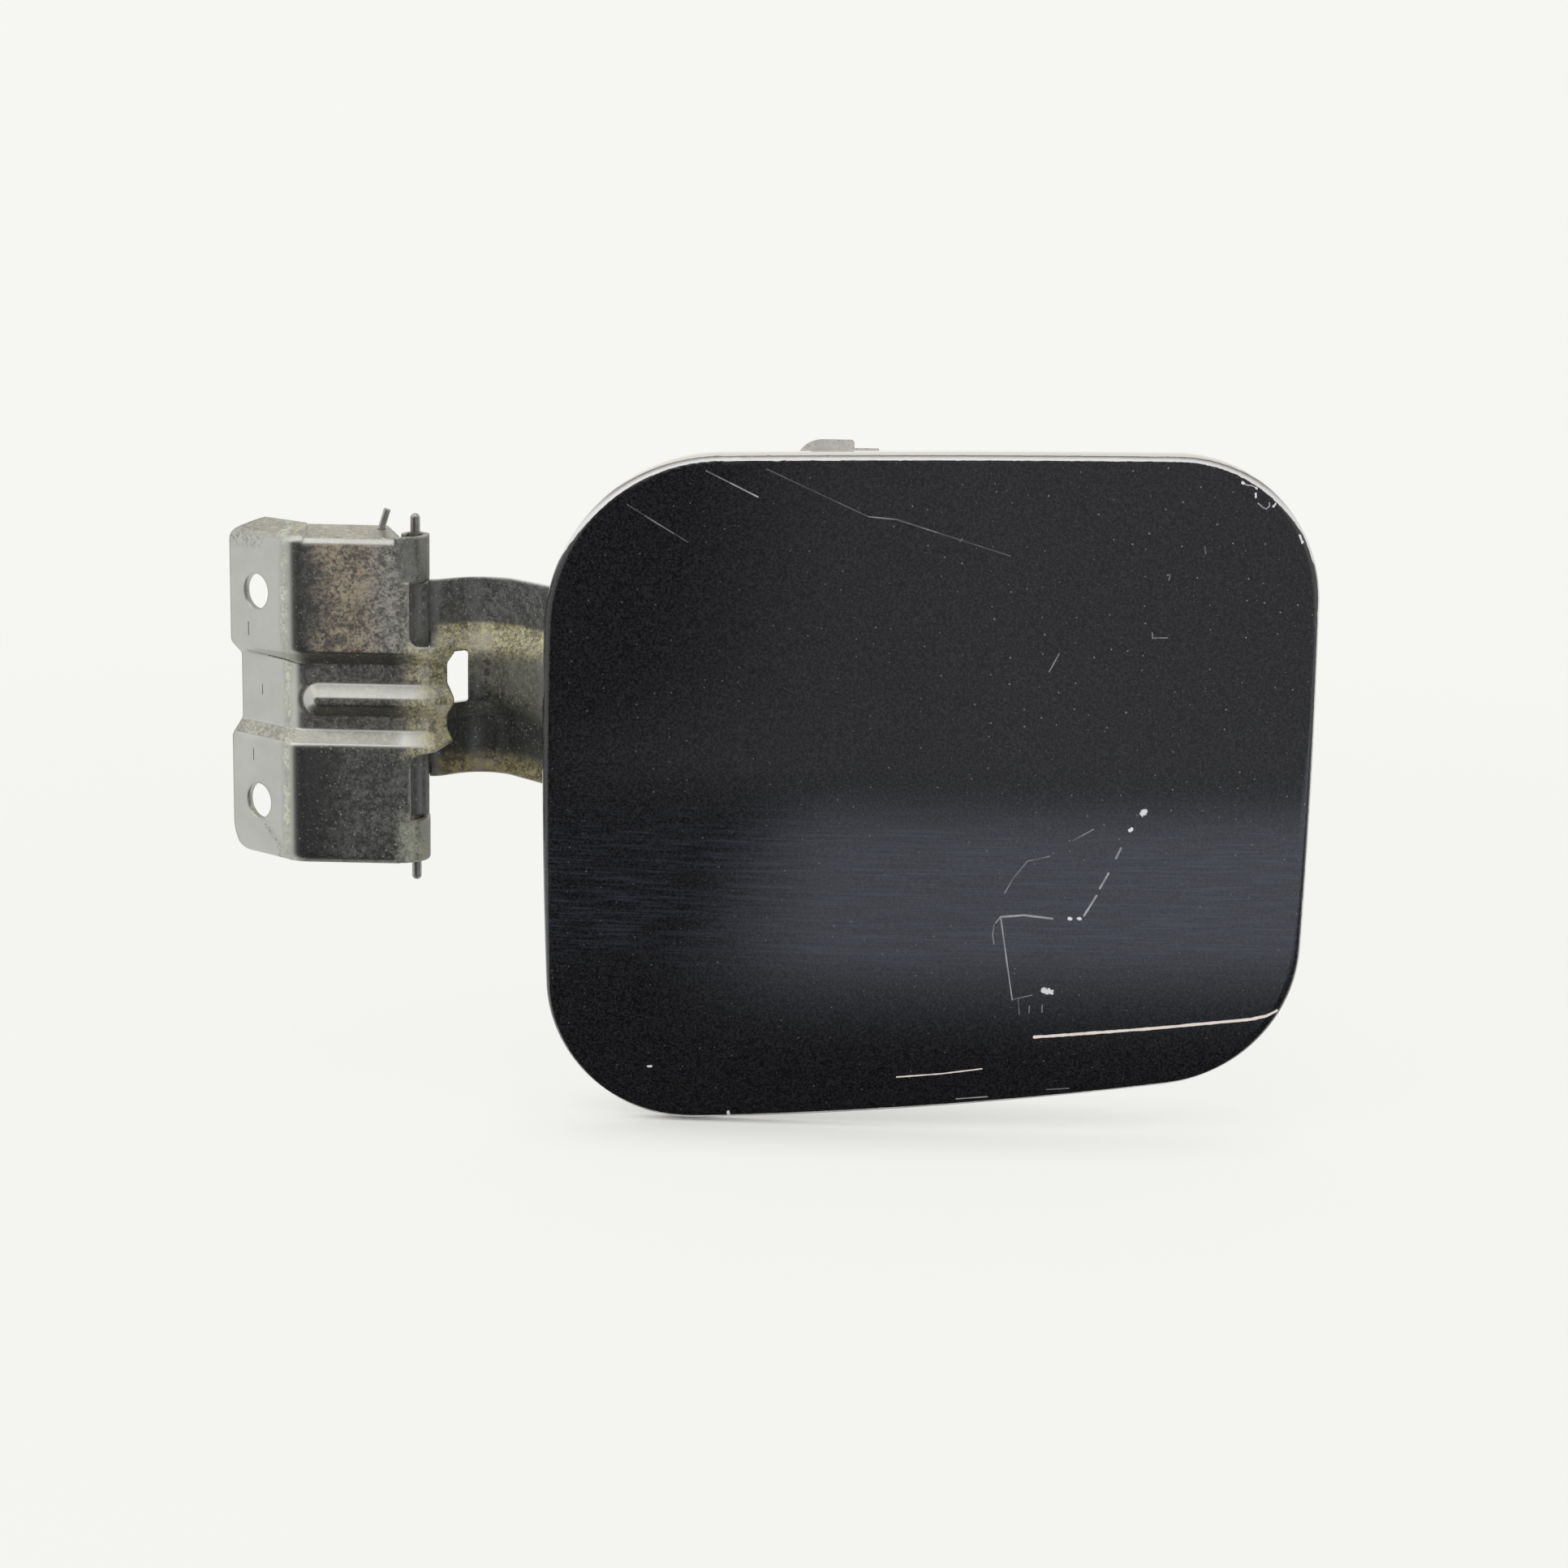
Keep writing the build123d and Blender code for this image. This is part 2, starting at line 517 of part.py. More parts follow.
# Seats for the rubber stops
STOP_X = LID_RIGHT - 22.7
STOP_SPOTS = {"upper": 24.0, "lower": -38.0}
STEM_R = 3.0
for z in STOP_SPOTS.values():
    inner = inner - front(Pos(STOP_X, z) * Circle(STEM_R), PAN_BACK - 1, PAN_BACK + 3)
DRAIN_R = 3.2
DRAINS = [(62.0, -58.5), (140.0, -49.0)]
for x, z in DRAINS:
    inner = inner - front(Pos(x, z) * Circle(DRAIN_R), PAN_BACK - 1, PAN_BACK + 3)
keep_part(inner, "inner_panel")

# Rubber stops
STOP_R = 6.0
STOP_TALL = 6.5
for name, z in STOP_SPOTS.items():
    profile = make_face(rounded([
        (0, 0, 0), (STOP_R, 0, 0), (STOP_R - 0.8, -STOP_TALL, 1.8), (0, -STOP_TALL - 0.6, 0)])
        + [Line((0, -STOP_TALL - 0.6), (0, 0))])
    stem = make_face(Polyline((0, -0.01), (STEM_R, -0.01), (STEM_R, SKIN), (STEM_R + 0.9, SKIN), (STEM_R - 0.6, 3.0),
                              (0, 3.0), close=True))
    spot = Plane(origin=(PIN_X + STOP_X, PIN_Y - PAN_BACK, z), x_dir=(1, 0, 0), z_dir=(0, 0, -1))
    stop_axis = Axis(spot.origin, (0, 1, 0))
    stop = revolve(spot * profile, stop_axis, 360) + revolve(spot * stem, stop_axis, 360)
    keep_part(stop, f"bump_stop_{name}")

# Latch striker: folded strip with a window for the lock pin
STRIKER_X = LID_RIGHT - 23.7
STRIKER_Z = -8.0
STRIKER_TALL = 19.0
STRIKER_HALF = 9.0
LOOP = 1.6
striker_side = strip([(-12.0, 0, 0), (-0.5, 0, 2.6), (2.0, -STRIKER_TALL, 0)], LOOP)
striker_plane = Plane(origin=(PIN_X + STRIKER_X, PIN_Y - PAN_BACK, STRIKER_Z + STRIKER_HALF),
                      x_dir=(1, 0, 0), z_dir=(0, 0, -1))
striker = extrude(striker_plane * striker_side, 2 * STRIKER_HALF)
window_plane = Plane(origin=(PIN_X + STRIKER_X, PIN_Y - PAN_BACK, STRIKER_Z), x_dir=(0, -1, 0), z_dir=(1, 0, 0))
window = fillet(rectangle(-15.0, -6.5, -5.0, 5.0).vertices(), 1.5)
striker = striker - extrude(window_plane * window, 12, both=True)
tip_edges = [e for e in striker.edges() if e.center().Y > PIN_Y - PAN_BACK + STRIKER_TALL - 1.5 and e.length < 3]
striker = fillet(tip_edges, 3.0)
keep_part(striker, "latch_striker")

# Fuel cap hanger: strip that stands out above the lid's top edge
HANGER_LEFT = 74.4
HANGER_RIGHT = 85.2
HANGER_FOOT = 22.0
HANGER_BEND = LID_TOP - 4.7
HANGER_TOP = LID_TOP + 0.4
HANGER_BACK = 5.4
SHOULDER_RIGHT = 89.9
SHOULDER_SHARE = 0.72      # how far the lower shoulder goes up the bent end


def hanger_strip(left, right, share):
    line = [(HANGER_FOOT, 0, 0), (HANGER_BEND, 0, 3.0),
            (HANGER_BEND + (HANGER_TOP - HANGER_BEND) * share, -HANGER_BACK * share, 0)]
    plane = Plane(origin=(PIN_X + left, PIN_Y - PAN_BACK, 0), x_dir=(0, 0, 1), z_dir=(1, 0, 0))
    return extrude(plane * strip(line, SHEET), right - left)


def tip_edges(solid):
    """Short edges at the hanger's upper end, from left to right."""
    tips = [e for e in solid.edges() if e.center().Z > HANGER_TOP - 2.1 and e.length < 2]
    return sorted(tips, key=lambda e: e.center().X)


hanger = hanger_strip(HANGER_LEFT, HANGER_RIGHT, 1)
hanger = fillet(tip_edges(hanger)[0], 5.0)
hanger = fillet(tip_edges(hanger)[-1], 0.8)
hanger = hanger + hanger_strip(HANGER_RIGHT - 1, SHOULDER_RIGHT, SHOULDER_SHARE)
keep_part(hanger, "cap_hanger")

# Wire spring: ends pivot in the side walls, the cross bar bears on the arm behind the eyes
BAR = (1.0, -EYE_OUT - SPRING_R - 0.35)
spring_line = [
    (SPRING_HOLE[0] + 1.2, SPRING_HOLE[1] + 0.3, BOX_HIGH + 5.0, 0),
    (SPRING_HOLE[0], SPRING_HOLE[1], BOX_HIGH + 1.2, 2.0),
    (SPRING_HOLE[0], SPRING_HOLE[1], BOX_HIGH - 3.8, 2.0),
    (BAR[0], BAR[1], BOX_HIGH - 6.0, 2.0),
    (BAR[0], BAR[1], BOX_LOW + 6.0, 2.0),
    (SPRING_HOLE[0], SPRING_HOLE[1], BOX_LOW + 3.8, 2.0),
    (SPRING_HOLE[0], SPRING_HOLE[1], BOX_LOW - 1.6, 0),
]
spring_line = [(PIN_X + x, PIN_Y - w, z, r) for x, w, z, r in spring_line]
wire = Wire(rounded(spring_line))
spring = sweep(Plane(origin=wire @ 0, z_dir=wire % 0) * Circle(SPRING_R), path=wire)
keep_part(spring, "hinge_spring")
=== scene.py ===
"""Car fuel door: finishes, floor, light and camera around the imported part. Metres, in the part's own frame."""

import math
from functools import reduce

import bpy
from mathutils import Matrix, Vector

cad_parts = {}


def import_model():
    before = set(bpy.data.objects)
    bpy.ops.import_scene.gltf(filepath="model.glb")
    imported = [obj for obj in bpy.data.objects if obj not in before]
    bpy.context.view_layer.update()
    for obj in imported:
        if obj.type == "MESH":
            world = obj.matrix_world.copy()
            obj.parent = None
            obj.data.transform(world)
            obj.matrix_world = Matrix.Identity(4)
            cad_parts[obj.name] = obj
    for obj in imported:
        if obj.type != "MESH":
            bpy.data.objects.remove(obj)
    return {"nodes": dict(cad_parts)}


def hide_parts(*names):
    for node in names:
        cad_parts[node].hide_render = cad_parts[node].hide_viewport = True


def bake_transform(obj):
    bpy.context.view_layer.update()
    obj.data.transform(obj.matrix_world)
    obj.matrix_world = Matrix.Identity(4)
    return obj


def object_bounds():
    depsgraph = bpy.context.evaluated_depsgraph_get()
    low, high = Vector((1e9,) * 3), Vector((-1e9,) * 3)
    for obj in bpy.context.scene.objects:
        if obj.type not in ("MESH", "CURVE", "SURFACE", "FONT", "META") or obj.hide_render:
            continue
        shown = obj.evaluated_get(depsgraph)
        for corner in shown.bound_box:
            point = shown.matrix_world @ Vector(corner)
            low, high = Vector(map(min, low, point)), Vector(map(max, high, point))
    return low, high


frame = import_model()
cad_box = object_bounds()

MM = 0.001
BOLT_LIFT = 0.95        # heights on the finishes start this far below the bolt holes' middle

# Shader maths


class Value:
    """An output of a shader node. Arithmetic on numbers adds Math nodes to the same finish."""

    def __init__(self, finish, socket):
        self.finish = finish
        self.socket = socket

    def math(self, operation, *values):
        return self.finish.node("ShaderNodeMath", {"operation": operation}, *values)

    def __add__(self, other):
        return self.math("ADD", self, other)

    __radd__ = __add__

    def __sub__(self, other):
        return self.math("SUBTRACT", self, other)

    def __rsub__(self, other):
        return self.math("SUBTRACT", other, self)

    def __mul__(self, other):
        return self.math("MULTIPLY", self, other)

    __rmul__ = __mul__

    def __truediv__(self, other):
        return self.math("DIVIDE", self, other)

    def least(self, other):
        return self.math("MINIMUM", self, other)

    def most(self, other):
        return self.math("MAXIMUM", self, other)

    def size(self):
        return self.math("ABSOLUTE", self)

    def rises(self, low, high):
        """0 below low, 1 above high, smooth between them; falls where low is above high."""
        settings = {"interpolation_type": "SMOOTHSTEP"}
        if low > high:
            return 1 - self.finish.node("ShaderNodeMapRange", settings, self, high, low)
        return self.finish.node("ShaderNodeMapRange", settings, self, low, high)

    def between(self, low, high, soft):
        """1 from low to high, with soft edges."""
        return self.rises(low - soft, low + soft) * self.rises(high + soft, high - soft)


class Nodes:
    """A node tree that is written as expressions."""

    def __init__(self, owner):
        owner.use_nodes = True
        self.tree = owner.node_tree
        self.tree.nodes.clear()

    def node(self, kind, settings, *inputs, out=0, **named):
        """Adds a node: its settings, then its sockets in order or by name. Returns one of its outputs."""
        made = self.tree.nodes.new(kind)
        for key, value in settings.items():
            setattr(made, key, value)
        for socket, value in zip(made.inputs, inputs):
            self.feed(socket, value)
        for key, value in named.items():
            self.feed(next(s for s in made.inputs if key in (s.identifier, s.name)), value)
        if out is None:
            return None
        if isinstance(out, int):
            return Value(self, made.outputs[out])
        return Value(self, next(s for s in made.outputs if out in (s.identifier, s.name)))

    def feed(self, socket, value):
        if isinstance(value, Value):
            self.tree.links.new(value.socket, socket)
        elif isinstance(value, tuple) and socket.type == "RGBA":
            socket.default_value = (*value, 1.0)
        else:
            socket.default_value = value

    def seen(self):
        """1 for what the camera sees, straight or in gloss or glass, and 0 for what only lights the scene."""
        kinds = ("Camera", "Glossy", "Transmission")
        return reduce(Value.most, [self.node("ShaderNodeLightPath", {}, out=f"Is {kind} Ray") for kind in kinds])


class Finish(Nodes):
    """A procedural material, drawn in millimetres of the part's frame at rest."""

    def __init__(self, name):
        self.material = bpy.data.materials.new(name)
        super().__init__(self.material)
        rest = self.node("ShaderNodeTexCoord", {}, out="Object")
        self.spot = self.vector("MULTIPLY_ADD", rest, (1 / MM,) * 3, (0, 0, BOLT_LIFT))
        self.x, self.y, self.z = self.parts(self.spot)
        facing = self.node("ShaderNodeTexCoord", {}, out="Normal")
        self.east, self.back, self.top = self.parts(facing)

    def vector(self, operation, *inputs, out=0, **named):
        return self.node("ShaderNodeVectorMath", {"operation": operation}, *inputs, out=out, **named)

    def parts(self, vector):
        return [self.node("ShaderNodeSeparateXYZ", {}, vector, out=i) for i in range(3)]

    def noise(self, grain, detail=2.0, rough=0.5, stretch=(1, 1, 1), shift=0.0):
        """Cloudy pattern with lumps about grain millimetres wide, longer where stretch is above 1."""
        scale = tuple(1 / (grain * s) for s in stretch)
        spot = self.vector("MULTIPLY_ADD", self.spot, scale, (shift, shift, shift))
        return self.node("ShaderNodeTexNoise", {}, Vector=spot, Scale=1.0, Detail=detail, Roughness=rough)

    def specks(self, cell, radius, share, shift=0.0, face=False):
        """Round specks up to radius, one in each of a share of the cells, which are cell millimetres wide.
        With face they lie on the lid's face and take no heed of its depth."""
        spot = self.node("ShaderNodeCombineXYZ", {}, self.x, self.z, 0.0) if face else self.spot
        spot = self.vector("MULTIPLY_ADD", spot, (1 / cell,) * 3, (shift,) * 3)
        settings = {"voronoi_dimensions": "2D" if face else "3D"}
        near = self.node("ShaderNodeTexVoronoi", settings, Vector=spot, Scale=1.0, out="Distance")
        draw = self.node("ShaderNodeTexVoronoi", settings, Vector=spot, Scale=1.0, out="Color")
        chance = self.parts(draw)[0]
        reach = (chance - (1 - share)) * (radius / cell / share)
        return (reach - near).rises(0.0, 0.25 * radius / cell)

    def stroke(self, points, width):
        """Distance, in widths, to a line through points on the lid's face: (x, z) in millimetres."""
        flat = self.vector("MULTIPLY", self.spot, (1, 0, 1))
        reaches = []
        for (x0, z0), (x1, z1) in zip(points, points[1:]):
            start = Vector((x0, 0, z0))
            run = Vector((x1, 0, z1)) - start
            offset = self.vector("SUBTRACT", flat, tuple(start))
            along = self.vector("DOT_PRODUCT", offset, tuple(run / run.length_squared), out="Value")
            share = self.node("ShaderNodeClamp", {}, along)
            foot = self.vector("SCALE", tuple(run), Scale=share)
            reaches.append(self.vector("DISTANCE", offset, foot, out="Value"))
        return reduce(Value.least, reaches) / width

    def mix(self, share, first, second):
        """Colour between first and second."""
        sockets = {"Factor_Float": share, "A_Color": first, "B_Color": second}
        return self.node("ShaderNodeMix", {"data_type": "RGBA"}, **sockets, out="Result_Color")

    def edges(self, radius):
        """Normal of a surface with edges rounded to radius millimetres, and how much it turns there, 0 to 1."""
        rounded = self.node("ShaderNodeBevel", {"samples": 6}, radius * MM)
        plain = self.node("ShaderNodeNewGeometry", {}, out="Normal")
        turn = 1 - self.vector("DOT_PRODUCT", rounded, plain, out="Value")
        return rounded, turn.rises(0.01, 0.12)

    def bump(self, height, depth, **under):
        """Normal of a surface that stands out by height times depth millimetres."""
        return self.node("ShaderNodeBump", {}, Height=height, Distance=depth * MM, Strength=1.0, **under)

    def principled(self, **sockets):
        return self.node("ShaderNodeBsdfPrincipled", {}, **{k.replace("_", " "): v for k, v in sockets.items()})

    def over(self, share, under, cover):
        """One shader over another, by share."""
        return self.node("ShaderNodeMixShader", {}, share, under, cover)

    def close(self, shader):
        self.node("ShaderNodeOutputMaterial", {}, shader, out=None)
        return self.material


# Finishes

# Marks on the lid's face, as (x, z) lines in millimetres; chips end in their radius
DEEP_SCRATCHES = [[(154.1, -59.4), (175.5, -57.5), (196.1, -55.4), (199.3, -54.7), (201.3, -53.7)]]
THIN_SCRATCHES = [[(127.5, -68.3), (136.2, -67.4), (144.1, -66.2)]]
WIDE_SCRATCHES = [
    [(146.5, -34.9), (151.0, -34.5), (156.5, -35.1)],
    [(162.6, -34.4), (164.8, -30.4)],
    [(165.4, -28.9), (166.9, -25.9)],
    [(168.2, -22.9), (169.1, -20.9)],
]
SCRATCHES = [
    [(145.6, -36.1), (146.5, -34.9), (147.9, -43.1), (149.4, -51.7)],
    [(93.0, 47.25), (98.2, 44.8)],
    [(139.3, -72.7), (145.4, -72.1)],
    [(189.8, 49.0), (190.4, 48.75), (191.1, 48.7), (191.8, 48.4), (192.1, 48.1)],
    [(192.5, 45.4), (193.4, 44.65), (194.1, 44.35), (194.7, 44.9), (194.65, 45.5)],
]
FAINT_SCRATCHES = [
    [(147.1, -30.1), (148.6, -27.2), (151.2, -23.7), (155.4, -22.7)],
    [(159.8, -19.5), (163.7, -17.2)],
    [(88.4, 49.4), (93.0, 47.25)],
    [(77.0, 40.7), (82.5, 37.55)],
    [(119.1, 41.6), (124.4, 41.2), (132.0, 38.95)],
    [(155.8, 16.6), (154.0, 13.1)],
    [(173.3, 20.8), (173.4, 19.8), (176.2, 19.9)],
    [(150.6, -51.7), (150.9, -54.7)],
    [(152.8, -53.0), (152.8, -54.4)],
    [(155.3, -52.7), (155.3, -54.2)],
    [(145.3, -36.6), (145.1, -38.6), (145.4, -40.4)],
    [(149.4, -51.7), (153.2, -50.7)],
    [(156.9, -70.4), (161.3, -70.1)],
    [(182.7, 37.1), (182.9, 35.9)],
    [(175.7, 31.7), (176.3, 31.8), (176.1, 30.8)],
]
HAIR_SCRATCHES = [
    [(73.6, 42.7), (85.2, 36.0)],
    [(99.8, 50.0), (119.1, 41.6)],
    [(132.0, 38.95), (146.0, 34.8)],
]
CHIPS = [
    ((155.4, -49.7), (156.9, -50.0), 0.52),
    ((159.7, -35.1), (160.0, -35.1), 0.35),
    ((161.5, -35.0), (161.8, -35.0), 0.3),
    ((170.7, -17.3), (171.0, -17.2), 0.4),
    ((173.0, -14.0), (173.3, -13.7), 0.6),
    ((189.4, 49.2), (189.6, 49.1), 0.28),
    ((192.0, 48.3), (192.15, 48.1), 0.18),
    ((192.0, 47.2), (192.0, 46.5), 0.2),
    ((195.4, 44.8), (195.9, 45.4), 0.16),
    ((200.7, 39.4), (201.3, 38.2), 0.24),
    ((94.6, -76.8), (94.8, -78.6), 0.32),
    ((78.7, -67.6), (79.4, -67.6), 0.22),
]


def lid_paint():
    """Blue-black metallic coat over pale paint, which shows along the rim, in scratches and in chips. The rim
    carries a painted highlight, painted shade and a painted dark line, and the wipe streaks carry a painted blue
    sheen.
    """
    f = Finish("lid_paint")
    flake = f.noise(0.45, 2.0, 0.7)
    base = f.mix(flake.rises(0.35, 0.70), (0.0030, 0.0031, 0.0038), (0.0230, 0.0232, 0.0265))
    # Wipe streaks with a painted blue sheen, kept to the heights where the front sheet's reflection falls
    wipes_and_painted_sheen = f.noise(1.0, 4.0, 0.65, stretch=(16, 1, 0.45), shift=4.0).rises(0.42, 0.75)
    wipes_and_painted_sheen = wipes_and_painted_sheen * f.z.between(-46, -16, 7)
    wobble = f.noise(1.5, 2.0) - 0.5
    ragged = f.noise(0.5, 3.0, 0.7) - 0.5
    broken = f.noise(3.0, 3.0, 0.6).rises(0.30, 0.62)

    def marks(lines, width):
        away = reduce(Value.least, [f.stroke(line, width) for line in lines])
        return (away + wobble * 0.9).rises(1.1, 0.6)

    def chip(start, end, radius):
        return (f.stroke([start, end], radius) + wobble * 0.6 + ragged * 2.4).rises(1.1, 0.8)

    chips = reduce(Value.most, [chip(*one) for one in CHIPS])
    outer = (0 - f.back).rises(0.0, 0.2)
    deep = marks(DEEP_SCRATCHES, 0.33).most(marks(THIN_SCRATCHES, 0.15)).most(chips) * outer
    plain = marks(SCRATCHES, 0.15).most(marks(WIDE_SCRATCHES, 0.23)) * outer * (0.55 + broken * 0.45)
    faint = marks(FAINT_SCRATCHES, 0.14).most(marks(HAIR_SCRATCHES, 0.13) * 0.45)
    faint = faint * outer * (0.12 + broken * 0.30)
    coarse = f.specks(3.2, 0.20, 0.6, shift=2.2, face=True)
    fine = f.specks(1.5, 0.11, 0.5, shift=7.3, face=True)
    dust = (coarse * 0.6).most(fine * 0.35)
    dust = dust * outer * (0.35 + f.x.rises(90, 170) * f.z.rises(-40, 10) * 0.5)
    base = f.mix(wipes_and_painted_sheen * 0.65, base, (0.040, 0.047, 0.068))
    base = f.mix(dust, base, (0.42, 0.41, 0.39))
    base = f.mix(faint.most(plain * 0.75), base, (0.58, 0.58, 0.60))
    base = f.mix(deep, base, f.mix(chips, (0.97, 0.87, 0.82), (0.80, 0.82, 0.87)))

    # The dark coat stops short of the rim, furthest along the top edge. There the pale rim is painted white by
    # the face and grey further over the top, which is painted highlight and shade. A painted dark line, standing
    # in for a dark reflection, parts it from the cream.
    corner = (f.east / 0.66) * f.z.rises(31, 35)
    rim = (f.top / 0.40).most(f.east / 0.80).most(f.top / -0.70).most(corner) + wobble * 0.06
    rim = rim.rises(0.95, 1.05)
    rim_paint_highlight_and_shade = f.mix(f.top.rises(0.50, 0.72), (0.80, 0.785, 0.775), (0.32, 0.315, 0.31))
    pale = f.mix(f.top.rises(0.78, 0.82), rim_paint_highlight_and_shade, (0.70, 0.665, 0.59))
    # Painted dark line along the top of the rolled edge, standing in for a dark reflection
    painted_rim_line = f.top.between(0.72, 0.79, 0.012)
    pale = f.mix(painted_rim_line * 0.9, pale, (0.10, 0.095, 0.09))
    base = f.mix(rim, base, pale)
    worn = deep.most(plain).most(faint).most(dust)
    return f.close(f.principled(
        Base_Color=base, Metallic=0.0, Roughness=0.32 + worn * 0.4, Specular_IOR_Level=0.15,
        Coat_Weight=1 - worn, Coat_Roughness=0.04, Coat_IOR=1.5,
        Normal=f.bump(f.noise(0.8, 2.0) * 0.3 - deep, 0.015)))


LEAST_DIRT = 0.04       # share of dirt on the cleanest steel
REAR_DIRT = 0.6         # and in the dirtiest patches of the hinge's back
EDGE_ROUND = 0.8        # millimetres


def hinge_steel(name, soil):
    """Dull plated steel under road dirt and painted shade. soil takes the finish and gives the share and colour
    of the dirt and the painted shade.
    """
    f = Finish(name)
    cloud = f.noise(7.0, 4.0, 0.6)
    grain = f.noise(0.45, 2.0, 0.6)
    share, colour = soil(f, cloud)
    blotch = f.noise(1.3, 3.0, 0.75, shift=2.7)
    mottle = (grain * 0.35 + blotch * 0.45 + cloud * 0.2).rises(0.40, 0.60)
    dirty = share.rises(0.15, 0.4)
    specks = f.specks(0.9, 0.24, 0.6).most(f.specks(0.5, 0.15, 0.7, shift=3.1)) * dirty
    pits = f.specks(1.2, 0.24, 0.35, shift=9.4) * dirty
    colour = f.vector("SCALE", colour, Scale=0.42 + mottle * 1.16)
    colour = f.mix(pits * 0.8, colour, (0.020, 0.017, 0.014))
    colour = f.mix(specks * 0.55, colour, (0.46, 0.44, 0.38))
    rounded, edge = f.edges(EDGE_ROUND)
    rubbed = edge * (grain * 0.5 + cloud * 0.5).rises(0.40, 0.55) * 0.6
    cover = (share * (0.8 + mottle * 0.3)).most(specks * 0.6).least(0.97) * (1 - rubbed)
    bumps = f.bump(grain * 0.5 + cover * 0.5, 0.012, Normal=rounded)
    steel = f.mix(cloud.rises(0.3, 0.7), (0.51, 0.515, 0.49), (0.56, 0.565, 0.535))
    metal = f.principled(Base_Color=steel, Metallic=1.0, Roughness=0.26 + grain * 0.12, Normal=bumps)
    dirt = f.principled(Base_Color=colour, Metallic=0.0, Roughness=0.85, Specular_IOR_Level=0.2, Normal=bumps)
    return f.close(f.over(cover, metal, dirt))


# Dark scores on the bracket's flange, and a painted shadow along its crease: (x, z) line in millimetres, width,
# strength
FLANGE_SCORES_AND_CREASE_SHADE = [
    ([(-1.9, 15.6), (-1.9, 13.0)], 0.13, 0.85),
    ([(0.4, 2.8), (0.4, 0.9)], 0.13, 0.85),
    ([(-1.2, -9.6), (-1.2, -12.0)], 0.13, 0.85),
    # These last two lines are a painted shadow in the flange's crease, not marks
    ([(-2.8, 9.5), (2.2, 9.1)], 0.16, 0.4),
    ([(2.2, 9.1), (3.0, 9.0), (6.0, 8.8), (9.5, 8.2)], 0.24, 0.9),
]
DIRT_LINE = [(0.8, -23.8), (3.0, -26.2), (4.3, -27.5), (4.8, -30.7)]


def bracket_soil(f, cloud):
    """Brown on the upper box, grey on the lower, tan on the tongue, the slopes and what faces up. Near-black by
    the bend, on faces that look down and along the flange's crease, which is painted shade.
    """
    front = (0 - f.back).rises(0.75, 0.95)
    past_bend = f.x.rises(7.0, 8.6)
    right = (f.x + cloud * 8.0).rises(12.0, 21.0)
    upper = f.z.rises(8.0, 12.0)
    lower = f.z.rises(-4.0, -8.0)
    tongue = f.x.rises(26.5, 35.0) * f.z.between(-9.5, 13.5, 1.0)
    ears = f.x.rises(27.0, 30.0) * (f.z - 1.4).size().rises(20.0, 25.0)
    slope = f.top.rises(0.57, 0.645) * f.z.rises(-3.0, -4.5) * f.x.rises(31.0, 27.0)
    rib = f.top.rises(0.35, 0.6) * f.z.rises(-2.5, -1.0)
    ledge = f.top.rises(0.75, 0.92)
    # Faces that look down, past the bend, are painted dark: painted shade under the bracket's folds
    under = (0 - f.top).rises(0.25, 0.5) * f.x.rises(7.0, 10.0)
    fringe = (f.x + cloud * 3.0).between(7.0, 8.8, 0.6) * cloud.rises(0.30, 0.50)
    rear = f.back.rises(0.0, 0.5)
    ragged = f.noise(0.8, 3.0, 0.7, shift=5.0)
    # Dark scores, and a painted shadow along the crease
    scores_and_crease_shade = reduce(Value.most, [
        f.stroke(line, width).rises(1.2, 0.4) * strength for line, width, strength in FLANGE_SCORES_AND_CREASE_SHADE])
    scores_and_crease_shade = scores_and_crease_shade * (0 - f.back).rises(0.0, 0.3) * ragged.rises(0.30, 0.50)
    corner = f.x.rises(3.5, -1.0) * f.z.rises(29.8, 32.0)
    stain = corner.most(f.stroke(DIRT_LINE, 0.8).rises(1.2, 0.2)) * ragged.rises(0.46, 0.62)
    share = reduce(Value.most, [
        past_bend * front * (0.45 + right * 0.35), tongue * 0.72, ears * 0.85, slope * 0.7, rib * 0.4,
        ledge * 0.65, under * 0.7, fringe * 0.5, rear * cloud.rises(0.3, 0.7) * REAR_DIRT, scores_and_crease_shade, stain * 0.6])
    share = share + LEAST_DIRT
    # By the bend the front cover is painted near-black, a painted dark reflection; further right it turns brown
    # on the upper box and grey on the lower, which is dirt
    brown = f.mix(f.x.rises(20.0, 27.0), (0.235, 0.195, 0.14), (0.22, 0.21, 0.185))
    grey = f.mix(f.x.rises(9.0, 24.0), (0.020, 0.021, 0.021), (0.080, 0.080, 0.076))
    colour = f.mix(lower, (0.105, 0.097, 0.090), grey)
    colour = f.mix(upper, colour, f.mix(right, (0.045, 0.045, 0.047), brown))
    colour = f.mix(ears, colour, f.mix(lower, (0.125, 0.125, 0.11), (0.22, 0.225, 0.17)))
    # Painted shade on the faces that look down
    colour = f.mix(under, colour, (0.024, 0.023, 0.022))
    colour = f.mix(tongue.most(rear), colour, (0.40, 0.37, 0.225))
    colour = f.mix(slope, colour, (0.34, 0.325, 0.26))
    colour = f.mix(rib * (1 - tongue), colour, (0.34, 0.32, 0.27))
    colour = f.mix(ledge, colour, (0.34, 0.315, 0.235))
    colour = f.mix(fringe, colour, (0.46, 0.47, 0.37))
    colour = f.mix(stain, colour, (0.15, 0.15, 0.13))
    return share, f.mix(scores_and_crease_shade.rises(0.0, 0.2), colour, (0.045, 0.042, 0.036))


